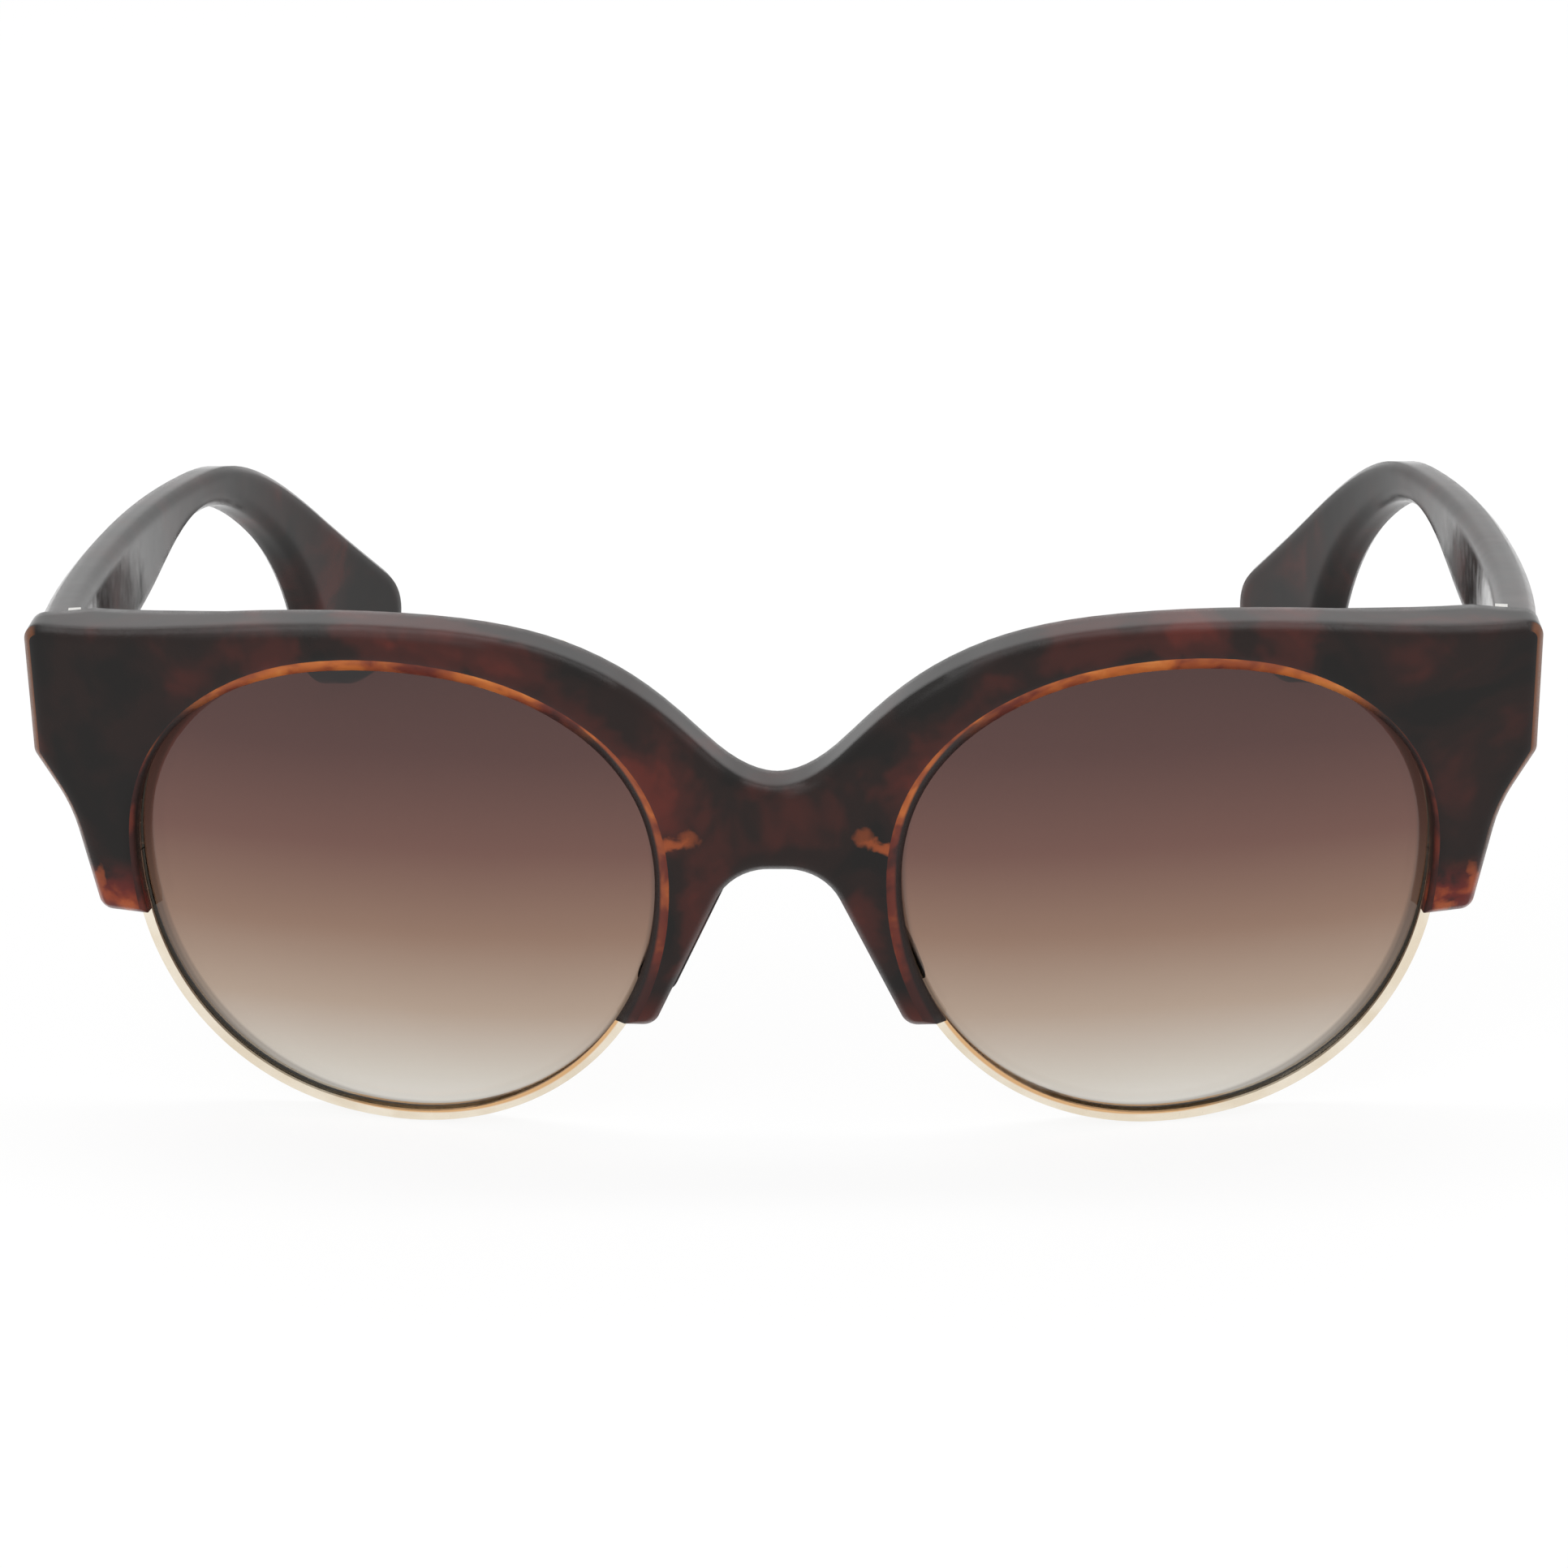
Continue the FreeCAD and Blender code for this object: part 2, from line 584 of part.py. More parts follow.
def front_plate(play):
    """The plate sunk in the front's rear face, with its two anchors."""
    rear = -PIVOT_GAP - FRONT_PLATE_SINK
    plate = box((-FRONT_PLATE_IN - play, rear - PLATE_THICK, -PLATE_HALF_HEIGHT - play),
                (FRONT_PLATE_OUT + play, rear, PLATE_HALF_HEIGHT + play))
    middle = (FRONT_PLATE_OUT - FRONT_PLATE_IN) / 2
    for side in (-1, 1):
        z = side * ANCHOR_RISE
        start = rear - PLATE_THICK
        plate = plate.fuse(post(ANCHOR_R + play, (middle, start, z), (middle, start - ANCHOR_DEEP, z)))
    return plate


def front_hinge():
    """The front's half hinge: three knuckles standing on the sunk plate."""
    rear = -PIVOT_GAP - FRONT_PLATE_SINK
    arms = knuckles(range(0, KNUCKLES, 2), (-KNUCKLE_R, rear), (KNUCKLE_R, 0), HINGE_SCREW_R + SCREW_FIT)
    return front_plate(0.0).multiFuse(arms).removeSplitter()


def temple_plate(play):
    """The plate sunk flush in the temple's inner face, with its two anchors."""
    inner = PIVOT_GAP
    plate = box((inner, -TEMPLE_PLATE_FRONT - play, -PLATE_HALF_HEIGHT - play),
                (inner + PLATE_THICK, TEMPLE_PLATE_BACK + play, PLATE_HALF_HEIGHT + play))
    for side in (-1, 1):
        z = side * ANCHOR_RISE
        y = (TEMPLE_PLATE_BACK + TEMPLE_PLATE_FRONT) / 2
        start = inner + PLATE_THICK
        plate = plate.fuse(post(ANCHOR_R + play, (start, y, z), (start + ANCHOR_DEEP, y, z)))
    return plate


def temple_hinge():
    """The temple's half hinge: two knuckles between the front's three."""
    arms = knuckles(range(1, KNUCKLES, 2), (0, -KNUCKLE_R * 0.9), (PIVOT_GAP, KNUCKLE_R * 0.9),
                    HINGE_SCREW_R + RUNNING_FIT)
    return temple_plate(0.0).multiFuse(arms).removeSplitter()


def hinge_screw():
    """The hinge's screw and pivot, with its head on the top knuckle."""
    top = knuckle_span(KNUCKLES - 1)[1]
    bottom = knuckle_span(0)[0]
    shank = post(HINGE_SCREW_R, (0, 0, bottom - SCREW_TAIL), (0, 0, top))
    head = slotted_head(HINGE_HEAD_R, HINGE_HEAD, Vector(0, 0, top + HINGE_HEAD), Vector(0, 0, 1))
    return shank.fuse(head)


# ---- Temple ----------------------------------------------------------------------------------------------
def temple_face_line(inward):
    """The temple's plan curve this far inside its outer face: a straight start, then the bow."""
    start = BUTT_CORNER + ALONG * BUTT_GAP
    points = [start, start + ALONG * STRAIGHT]
    points += [Vector(HALF_WIDTH + out, TIP_Y - before, 0) for out, before in PLAN_CURVE]
    curve = spline(points, ALONG, points[-1] - points[-2])
    return beside(curve, inward, Vector(0, 0, 1), 13) if inward else curve


def plan_band(outer_inset, thick):
    """The temple's band seen from above, between two insets from its outer face."""
    outer = temple_face_line(outer_inset)
    inner = temple_face_line(outer_inset + thick)
    ends = [line(inner.Vertexes[i].Point, outer.Vertexes[i].Point) for i in (0, -1)]
    return prism([outer, inner] + ends, Vector(0, 0, REACH))


def tip_point(angle):
    """A point on the round temple tip, which stands on Z = 0."""
    turn = math.radians(angle)
    return Vector(0, TIP_Y + TIP_R * math.cos(turn), TIP_R + TIP_R * math.sin(turn))


def top_point(y):
    """A point on the straight part of the temple's upper edge."""
    return Vector(0, y, TEMPLE_TOP + (y - BUTT_Y) * TOP_SLOPE)


def side_points(places):
    """Points of the side view from distances before the tip and shares of the temple's height."""
    return [Vector(0, TIP_Y - before, share * TEMPLE_TOP) for before, share in places]


def temple_side():
    """The temple's side view: a tapering arm, a slim ear bend and a round paddle tip."""
    near = bend_depth(HALF_WIDTH)
    bend = TIP_Y - TOP_BEND
    top = spline([top_point(near), top_point(bend / 2), top_point(bend)] + side_points(TOP_CURVE)
                 + [tip_point(45)], Vector(0, 1, TOP_SLOPE), Vector(0, 1, -1))
    tip = Part.Arc(tip_point(45), tip_point(-60), tip_point(-180 + TIP_TURN)).toShape()
    low_start = top_point(near) - Vector(0, 0, TEMPLE_HEIGHT)
    turn = math.radians(TIP_TURN)
    lower = spline([tip_point(-180 + TIP_TURN)] + side_points(LOWER_CURVE) + [low_start],
                   Vector(0, -math.sin(turn), math.cos(turn)), Vector(0, -1, -TOP_SLOPE))
    return prism([top, tip, lower, line(low_start, top_point(near))], Vector(REACH, 0, 0))


def long_edges(shape):
    """The edges that run along the temple, without those across it or round its butt face."""
    found = []
    for edge in shape.Edges:
        middle = (edge.FirstParameter + edge.LastParameter) / 2
        along = edge.tangentAt(middle)
        at_butt = abs((edge.valueAt(middle) - BUTT_CORNER).dot(ALONG) - BUTT_GAP) < 1e-3
        if abs(along.x) < 0.99 and abs(along.z) < 0.999 and not at_butt:
            found.append(edge)
    return found


def core_side(play):
    """The core wire's side view: a strip of even height along the temple's middle."""
    start = Vector(0, BUTT_Y - TEMPLE_THICK, TEMPLE_TOP - TEMPLE_HEIGHT / 2)
    middle = [start] + side_points(CORE_LINE)
    curve = spline(middle, middle[1] - middle[0], middle[-1] - middle[-2])
    half = CORE_HEIGHT / 2 + play
    upper = beside(curve, half, Vector(1, 0, 0), 15)
    lower = beside(curve, -half, Vector(1, 0, 0), 15)
    ends = [line(upper.Vertexes[i].Point, lower.Vertexes[i].Point) for i in (0, -1)]
    return prism([upper, lower] + ends, Vector(REACH, 0, 0))


def temple_core(play):
    """The steel core wire, or with play the bore that holds it, open at the butt face."""
    inset = (TEMPLE_THICK - CORE_THICK) / 2 - play
    return plan_band(inset, CORE_THICK + 2 * play).common(core_side(play))


def temple():
    """The acetate temple with its sunk hinge plate and core bore."""
    body = plan_band(0.0, TEMPLE_THICK).common(temple_side())
    body = body.makeChamfer(TEMPLE_EDGE, long_edges(body))
    body = body.cut(placed(temple_plate(0.0), HINGE_FRAME))
    return body.cut(temple_core(CORE_PLAY))


# ---- Nose pads ---------------------------------------------------------------------------------------------
def nose_pad():
    """A smooth acetate pad bonded to the back of the nose leg, leaning with it."""
    body = box((-PAD_HALF_WIDTH, 0, PAD_HALF_WIDTH - PAD_HALF_HEIGHT),
               (PAD_HALF_WIDTH, REACH, PAD_HALF_HEIGHT - PAD_HALF_WIDTH))
    for z in (PAD_HALF_WIDTH - PAD_HALF_HEIGHT, PAD_HALF_HEIGHT - PAD_HALF_WIDTH):
        body = body.fuse(post(PAD_HALF_WIDTH, (0, 0, z), (0, REACH, z)))
    bow_r = (PAD_HALF_HEIGHT ** 2 + PAD_STAND ** 2) / (2 * PAD_STAND)
    body = body.common(post(bow_r, (-REACH, PAD_STAND - bow_r, 0), (REACH, PAD_STAND - bow_r, 0)))
    crown = post(PAD_CROWN_R, (0, PAD_STAND - PAD_CROWN_R, -REACH), (0, PAD_STAND - PAD_CROWN_R, REACH))
    foot = box((-PAD_HALF_WIDTH, 0, -REACH), (PAD_HALF_WIDTH, PAD_STAND - PAD_CROWN_R, REACH))
    body = body.common(crown.fuse(foot))
    lean = math.degrees(math.atan2(NOSE_LEG_X - ARCH_HALF, ARCH_TOP - NOSE_LEG_TIP))
    x = (ARCH_HALF + NOSE_LEG_X) / 2 + PAD_OUT
    seat = Vector(x, bend_depth(x, FRONT_BEND_R - SHEET) - SHEET / 4, (ARCH_TOP + NOSE_LEG_TIP) / 2)
    pad = placed(body, Placement(seat, Rotation(Vector(0, 1, 0), -lean)))
    sheet = Part.makeCylinder(FRONT_BEND_R - SHEET, REACH, Vector(0, FRONT_BEND_R, -SHEET))
    return pad.common(sheet)


# ---- The whole front -----------------------------------------------------------------------------------------
def front_brow():
    """The acetate front, with its openings and the seats of all that it carries."""
    cuts = [placed(piece, EYE_FRAME) for piece in eye_cutter()]
    cuts.append(placed(block_pocket(), EYE_FRAME))
    for angle in LUG_ANGLES:
        cuts.append(placed(lug(angle, LUG_PLAY, SHEET), EYE_FRAME))
        cuts.append(placed(lug_hole(angle, LUG_SCREW_R + SCREW_FIT, -LUG_SCREW_LENGTH - LUG_PLAY, 0), EYE_FRAME))
    pocket = front_plate(0.0)
    rear = -PIVOT_GAP - FRONT_PLATE_SINK
    pocket = pocket.fuse(box((-FRONT_PLATE_IN, rear, -PLATE_HALF_HEIGHT),
                             (FRONT_PLATE_OUT, SHEET, PLATE_HALF_HEIGHT)))
    arm_room = box((-KNUCKLE_R - LUG_PLAY, rear, -PLATE_HALF_HEIGHT),
                   (KNUCKLE_R + LUG_PLAY, SHEET, PLATE_HALF_HEIGHT))
    cuts.append(placed(pocket.fuse(arm_room), HINGE_FRAME))
    half = front_blank()
    for cut in cuts:
        half = half.cut(cut)
    return half.fuse(half.mirror(Vector(), Vector(1, 0, 0))).removeSplitter()


def left_parts():
    """Every part of the wearer's left side, in the glasses' frame."""
    return {
        "lens": placed(lens(), EYE_FRAME),
        "rim": placed(rim(), EYE_FRAME),
        "rim_closing_screw": placed(closing_screw(), EYE_FRAME),
        "rim_fixing_screws": placed(fixing_screws(), EYE_FRAME),
        "front_hinge": placed(front_hinge(), HINGE_FRAME),
        "temple_hinge": placed(temple_hinge(), HINGE_FRAME),
        "hinge_screw": placed(hinge_screw(), HINGE_FRAME),
        "temple": temple(),
        "temple_core": temple_core(0.0),
        "nose_pad": nose_pad(),
    }


def main():
    """Write every part, moved so that the middle of the whole length is at Y = 0."""
    os.makedirs("parts", exist_ok=True)
    centring = Vector(0, -(TIP_Y + TIP_R) / 2, 0)
    shapes = {"front_brow": front_brow()}
    for name, shape in left_parts().items():
        shapes[name + "_left"] = shape
        shapes[name + "_right"] = shape.mirror(Vector(), Vector(1, 0, 0))
    for name, shape in shapes.items():
        shape.translate(centring)
        shape.exportStep("parts/" + name + ".step")
        print(name, "solids", len(shape.Solids), "valid", shape.isValid(), "volume", round(shape.Volume, 2))
    pivot = PIVOT + centring
    print("pivot", [round(value, 4) for value in (pivot.x, pivot.y, HINGE_Z)])


main()
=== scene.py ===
"""Looks for the cat eye sunglasses: tortoiseshell acetate, pale gold rims, gradient lenses."""
import math

import bpy
from mathutils import Matrix, Vector

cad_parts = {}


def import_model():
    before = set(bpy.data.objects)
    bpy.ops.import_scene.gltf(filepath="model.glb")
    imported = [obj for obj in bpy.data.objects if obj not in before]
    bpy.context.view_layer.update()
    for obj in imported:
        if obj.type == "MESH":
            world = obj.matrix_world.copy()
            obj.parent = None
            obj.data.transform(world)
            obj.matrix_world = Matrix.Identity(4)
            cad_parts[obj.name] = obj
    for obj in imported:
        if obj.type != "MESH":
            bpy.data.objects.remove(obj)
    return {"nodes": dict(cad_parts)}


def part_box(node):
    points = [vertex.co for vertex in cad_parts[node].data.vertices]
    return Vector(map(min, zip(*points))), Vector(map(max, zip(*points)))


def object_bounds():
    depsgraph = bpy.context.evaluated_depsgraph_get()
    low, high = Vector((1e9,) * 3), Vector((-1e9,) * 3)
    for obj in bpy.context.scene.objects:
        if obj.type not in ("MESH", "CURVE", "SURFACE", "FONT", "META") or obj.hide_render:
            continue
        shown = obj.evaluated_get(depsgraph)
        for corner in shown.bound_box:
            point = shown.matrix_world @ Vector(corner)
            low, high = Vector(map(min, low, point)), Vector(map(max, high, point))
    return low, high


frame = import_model()
cad_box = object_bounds()
NODES = frame["nodes"]
SIDES = ("_left", "_right")
MM = 0.001

# The eye's outline: its middle stands EYE_LIFT above half its height, the lens RIM_BEYOND inside it.
# Above and below the middle it is a superellipse with these powers, a little squarer than an oval.
EYE_LIFT = 3.0
UPPER_SQUARE = 2.2
LOWER_SQUARE = 2.08
RIM_BEYOND = 0.69
EDGE_BAND = 0.8

# The roundness of the tumbled acetate's edges, in metres.
EDGE_ROUND = 0.0016

# Where the eye's outline, as a share of its reach, leaves the lens's clear part and the rim's inside.
LENS_SHADE = (0.936, 0.952)
RIM_INSIDE = (0.963, 0.970)


def lens_edge(pick):
    """The foremost point of the left lens at its nose or outer edge, in millimetres."""
    points = [v.co / MM for v in NODES["lens_left"].data.vertices]
    end = pick(p.x for p in points)
    return min((p for p in points if abs(p.x - end) < EDGE_BAND), key=lambda p: p.y)


LENS_LOW, LENS_HIGH = (corner / MM for corner in map(Vector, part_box("lens_left")))
NOSE_EDGE, OUTER_EDGE = lens_edge(min), lens_edge(max)
EYE = (NOSE_EDGE + OUTER_EDGE) / 2
EYE.z = (LENS_LOW.z + LENS_HIGH.z) / 2 + EYE_LIFT
EYE_TURN = math.atan2(OUTER_EDGE.y - NOSE_EDGE.y, OUTER_EDGE.x - NOSE_EDGE.x)
EYE_WIDE = math.hypot(OUTER_EDGE.x - NOSE_EDGE.x, OUTER_EDGE.y - NOSE_EDGE.y) / 2 + RIM_BEYOND
EYE_ABOVE = LENS_HIGH.z + RIM_BEYOND - EYE.z
EYE_BELOW = EYE.z - LENS_LOW.z + RIM_BEYOND


class Tree:
    """Short calls for building one material's nodes."""

    def __init__(self, name):
        self.material = bpy.data.materials.new(name)
        self.material.use_nodes = True
        self.tree = self.material.node_tree
        self.tree.nodes.clear()
        self.out = self.add("ShaderNodeOutputMaterial")

    def add(self, kind, **settings):
        node = self.tree.nodes.new(kind)
        for key, value in settings.items():
            setattr(node, key, value)
        return node

    def put(self, socket, value):
        if isinstance(value, bpy.types.NodeSocket):
            self.tree.links.new(value, socket)
        else:
            socket.default_value = value

    def math(self, operation, a, b=0.0, c=0.0, clamp=False):
        node = self.add("ShaderNodeMath", operation=operation, use_clamp=clamp)
        for socket, value in zip(node.inputs, (a, b, c)):
            self.put(socket, value)
        return node.outputs[0]

    def step(self, value, low, high, start=0.0, end=1.0):
        node = self.add("ShaderNodeMapRange", interpolation_type="SMOOTHSTEP")
        for socket, item in zip(node.inputs, (value, low, high, start, end)):
            self.put(socket, item)
        return node.outputs[0]

    def place(self):
        """The point on the surface in the row's frame, in millimetres, as a vector and its parts."""
        coord = self.add("ShaderNodeTexCoord").outputs["Object"]
        scale = self.add("ShaderNodeVectorMath", operation="SCALE")
        self.put(scale.inputs[0], coord)
        scale.inputs["Scale"].default_value = 1000.0
        parts = self.add("ShaderNodeSeparateXYZ")
        self.put(parts.inputs[0], scale.outputs[0])
        return scale.outputs[0], parts.outputs[0], parts.outputs[1], parts.outputs[2]

    def noise(self, vector, scale, detail=3.0, rough=0.5, distortion=0.0, seed=0.0):
        node = self.add("ShaderNodeTexNoise", noise_dimensions="4D")
        self.put(node.inputs["Vector"], vector)
        for key, value in (("W", seed), ("Scale", scale), ("Detail", detail),
                           ("Roughness", rough), ("Distortion", distortion)):
            node.inputs[key].default_value = value
        return node.outputs["Fac"]

    def ramp(self, value, stops, mode="EASE"):
        node = self.add("ShaderNodeValToRGB")
        node.color_ramp.interpolation = mode
        elements = node.color_ramp.elements
        while len(elements) < len(stops):
            elements.new(0.5)
        for element, (position, colour) in zip(elements, stops):
            element.position = position
            element.color = (*colour, 1.0)
        self.put(node.inputs[0], value)
        return node.outputs[0]

    def mix(self, factor, a, b):
        node = self.add("ShaderNodeMix", data_type="RGBA")
        self.put(node.inputs[0], factor)
        self.put(node.inputs[6], a if isinstance(a, bpy.types.NodeSocket) else (*a, 1.0))
        self.put(node.inputs[7], b if isinstance(b, bpy.types.NodeSocket) else (*b, 1.0))
        return node.outputs[2]

    def spot(self, x, z, place, size, turn):
        """1 in the middle of a soft oval at this place in the front view, 0 outside it."""
        dx = self.math("SUBTRACT", x, place[0])
        dz = self.math("SUBTRACT", z, place[1])
        c, s = math.cos(math.radians(turn)), math.sin(math.radians(turn))
        along = self.math("MULTIPLY_ADD", dx, c / size[0], self.math("MULTIPLY", dz, s / size[0]))
        across = self.math("MULTIPLY_ADD", dz, c / size[1], self.math("MULTIPLY", dx, -s / size[1]))
        far = self.math("MULTIPLY_ADD", along, along, self.math("MULTIPLY", across, across))
        return self.step(far, 1.0, 0.0)

    def eye_reach(self, x, y, z):
        """How far out of the eye a point is: 1 on the rim's outline; with its two parts."""
        dx = self.math("SUBTRACT", self.math("ABSOLUTE", x), EYE.x)
        dy = self.math("SUBTRACT", y, EYE.y)
        turned = self.math("MULTIPLY", dy, math.sin(EYE_TURN) / EYE_WIDE)
        flat = self.math("MULTIPLY_ADD", dx, math.cos(EYE_TURN) / EYE_WIDE, turned)
        up = self.math("SUBTRACT", z, EYE.z)
        upper = self.math("GREATER_THAN", up, 0.0)
        high = self.math("MULTIPLY_ADD", upper, EYE_ABOVE - EYE_BELOW, EYE_BELOW)
        square = self.math("MULTIPLY_ADD", upper, UPPER_SQUARE - LOWER_SQUARE, LOWER_SQUARE)
        tall = self.math("DIVIDE", up, high)
        total = self.math("ADD", self.math("POWER", self.math("ABSOLUTE", flat), square),
                          self.math("POWER", self.math("ABSOLUTE", tall), square))
        return self.math("POWER", total, self.math("DIVIDE", 1.0, square)), flat, tall

    def sway(self, point, x, z, scale, reach):
        """x and z moved about by soft noise, so that what is drawn there looks grown."""
        moved = []
        for value, seed in ((x, 6.4), (z, 2.9)):
            noise = self.noise(point, scale, 3.0, 0.6, 0.5, seed)
            centred = self.math("SUBTRACT", value, reach / 2)
            moved.append(self.math("MULTIPLY_ADD", noise, reach, centred))
        return moved

    def rounded(self, radius):
        """A normal that runs softly round the edges, as after tumbling."""
        node = self.add("ShaderNodeBevel", samples=6)
        node.inputs["Radius"].default_value = radius
        return node.outputs[0]

    def bump(self, height, strength, distance, normal=None):
        node = self.add("ShaderNodeBump")
        if normal:
            self.put(node.inputs["Normal"], normal)
        node.inputs["Strength"].default_value = strength
        node.inputs["Distance"].default_value = distance
        self.put(node.inputs["Height"], height)
        return node.outputs[0]

    def surface(self, **values):
        node = self.add("ShaderNodeBsdfPrincipled")
        for key, value in values.items():
            self.put(node.inputs[key.replace("_", " ")], value)
        self.put(self.out.inputs[0], node.outputs[0])
        return node


def srgb(r, g, b):
    """A colour seen on screen, 0 to 255, as linear numbers."""
    def one(v):
        v /= 255
        return v / 12.92 if v <= 0.04045 else ((v + 0.055) / 1.055) ** 2.4
    return one(r), one(g), one(b)


# Soft red-brown fields of the front, the same on both sides: place, reach, turn, strength.
FIELDS = (
    ((19.0, 43.0), (14.0, 6.0), 48, 1.0),
    ((13.0, 36.5), (7.0, 6.0), 0, 0.8),
    ((1.0, 34.5), (12.0, 6.0), 0, 0.4),
    ((31.0, 51.5), (12.0, 4.0), 8, 0.8),
    ((39.0, 52.0), (4.4, 7.0), 0, 0.8),
    ((48.0, 50.0), (5.0, 8.0), 0, 0.9),
    ((8.4, 24.0), (7.0, 3.0), 115, 0.7),
)
# Small amber swirls beside the bridge, and amber in the outer legs: place, reach, turn, strength.
SWIRLS = (
    ((11.0, 32.0), (3.4, 0.8), -12, 0.75),
    ((8.3, 32.8), (1.3, 1.2), 0, 0.4),
    ((64.2, 21.9), (1.4, 1.0), 0, 0.8),
    ((66.9, 24.4), (0.6, 2.2), 8, 0.5),
)
# Where amber fades in, from none to full: heights, and distances from the middle, in millimetres.
OUTER_LEG_HEIGHTS = (27.5, 23.0)
OUTER_LEG_REACH = (59.5, 61.0)
NOSE_LEG_HEIGHTS = (17.5, 13.5)
NOSE_LEG_REACH = (17.0, 15.0)
END_REACH = (67.0, 70.0)
GLOW_HEIGHTS = (24.0, 46.0)
FIELD_RISE = 0.2

# Colours of the acetate and the gold plate, and of the painted shade on the bevels, the rim's inside
# and the lens's edge.
BLACK_BROWN = srgb(18, 14, 12)
# Painted shade: near black for the bevels next to the lenses, where the lens edge and the rim shade
# them.
BEVEL_SHADE = srgb(30, 18, 16)
LEG_RED = srgb(92, 34, 24)
SWIRL_AMBER = srgb(168, 82, 40)
END_AMBER = srgb(140, 80, 40)
# Painted shade: the deepest gold is the rim's inside next to the lens, in the shadow between rim and
# lens.
GOLD_IN_SHADE = (0.72, 0.44, 0.22)
GOLD_DULL = (0.80, 0.70, 0.55)
GOLD_PALE = (0.88, 0.80, 0.67)
# Painted shade for the band of lens just inside the rim.
LENS_EDGE_SHADE = srgb(46, 38, 34)


def acetate(name, front):
    """Dark tortoiseshell: brown-black with red-brown clouds, amber where the front is thin."""
    t = Tree(name)
    point, x, y, z = t.place()
    clouds = t.noise(point, 0.075, 3.0, 0.5, 1.0, 1.3)
    fine = t.noise(point, 0.20, 2.0, 0.45, 0.6, 4.1)
    level = t.math("MULTIPLY_ADD", fine, 0.25, t.math("MULTIPLY", clouds, 0.75))
    if front:
        across = t.math("ABSOLUTE", x)
        near_x, near_z = t.sway(point, across, z, 0.12, 10.0)
        for place, size, turn, strength in FIELDS:
            spot = t.spot(near_x, near_z, place, size, turn)
            level = t.math("MULTIPLY_ADD", spot, strength * FIELD_RISE, level)
    colour = t.ramp(level, [
        (0.44, BLACK_BROWN), (0.55, srgb(31, 18, 15)), (0.68, srgb(60, 25, 20)),
        (0.82, srgb(86, 32, 24)), (0.98, srgb(114, 48, 28))])
    if front:
        colour = thin_amber(t, point, x, y, z, colour)
    handling = t.noise(point, 0.5, 5.0, 0.6, 0.0, 2.2)
    rough = t.step(handling, 0.3, 0.75, 0.07, 0.14)
    waves = t.noise(point, 0.15, 2.0, 0.5, 0.0, 7.7)
    t.surface(Base_Color=colour, Roughness=rough, IOR=1.48, Specular_IOR_Level=0.26,
              Normal=t.bump(waves, 0.10, 0.0005, t.rounded(EDGE_ROUND)))
    return t.material


def thin_amber(t, point, x, y, z, colour):
    """Adds the glow of the bevels round the lenses, painted shade on the bevels next to the lenses,
    the swirls and the legs' ends.
    """
    across = t.math("ABSOLUTE", x)
    low = t.math("MULTIPLY", t.step(z, *OUTER_LEG_HEIGHTS), t.step(across, *OUTER_LEG_REACH))
    patch = t.noise(point, 0.28, 3.0, 0.5, 0.6, 3.6)
    legs = t.ramp(patch, [
        (0.36, srgb(44, 20, 18)), (0.52, srgb(100, 30, 24)), (0.70, srgb(150, 64, 32))])
    colour = t.mix(t.math("MULTIPLY", low, 0.85), colour, legs)
    tip = t.math("MULTIPLY", t.step(z, *NOSE_LEG_HEIGHTS), t.step(across, *NOSE_LEG_REACH))
    colour = t.mix(t.math("MULTIPLY", tip, 0.6), colour, LEG_RED)
    bent_x, bent_z = t.sway(point, across, z, 0.5, 2.2)
    for place, size, turn, strength in SWIRLS:
        spot = t.spot(bent_x, bent_z, place, size, turn)
        colour = t.mix(t.math("MULTIPLY", spot, strength), colour, SWIRL_AMBER)
    reach, flat, tall = t.eye_reach(x, y, z)
    normal = t.add("ShaderNodeSeparateXYZ")
    t.put(normal.inputs[0], t.add("ShaderNodeNewGeometry").outputs["Normal"])
    outward = t.math("MULTIPLY", normal.outputs[0], t.math("SIGN", x))
    inward = t.math("MULTIPLY_ADD", normal.outputs[2], tall, t.math("MULTIPLY", outward, flat))
    forward = t.step(normal.outputs[1], -0.15, -0.35)
    edge = t.math("MULTIPLY", t.step(reach, 1.10, 1.05), t.step(inward, -0.14, -0.34))
    edge = t.math("MULTIPLY", edge, forward)
    # Painted shade: the bevel round each lens is darkened, and only its outer part gets the amber
    # glow below.
    colour = t.mix(edge, colour, BEVEL_SHADE)
    turning = t.math("MULTIPLY", t.step(outward, 0.3, 0.6), forward)
    corner = t.math("MULTIPLY", turning, t.step(across, *END_REACH))
    colour = t.mix(t.math("MULTIPLY", corner, 0.5), colour, END_AMBER)
    thin = t.math("MAXIMUM", t.step(reach, 0.982, 0.996), t.step(tall, 0.62, 0.85))
    coarse = t.noise(point, 0.085, 2.0, 0.5, 0.4, 9.7)
    fine = t.noise(point, 0.3, 2.0, 0.5, 0.4, 5.2)
    streak = t.math("MULTIPLY_ADD", fine, 0.4, t.math("MULTIPLY", coarse, 0.6))
    high = t.step(z, *GLOW_HEIGHTS, -0.08, 0.08)
    glow = t.ramp(t.math("ADD", streak, high), [
        (0.40, srgb(58, 24, 20)), (0.48, srgb(100, 38, 25)), (0.55, srgb(146, 70, 34)),
        (0.62, srgb(186, 100, 42)), (0.72, srgb(216, 136, 64))])
    return t.mix(t.math("MULTIPLY", edge, thin), colour, glow)


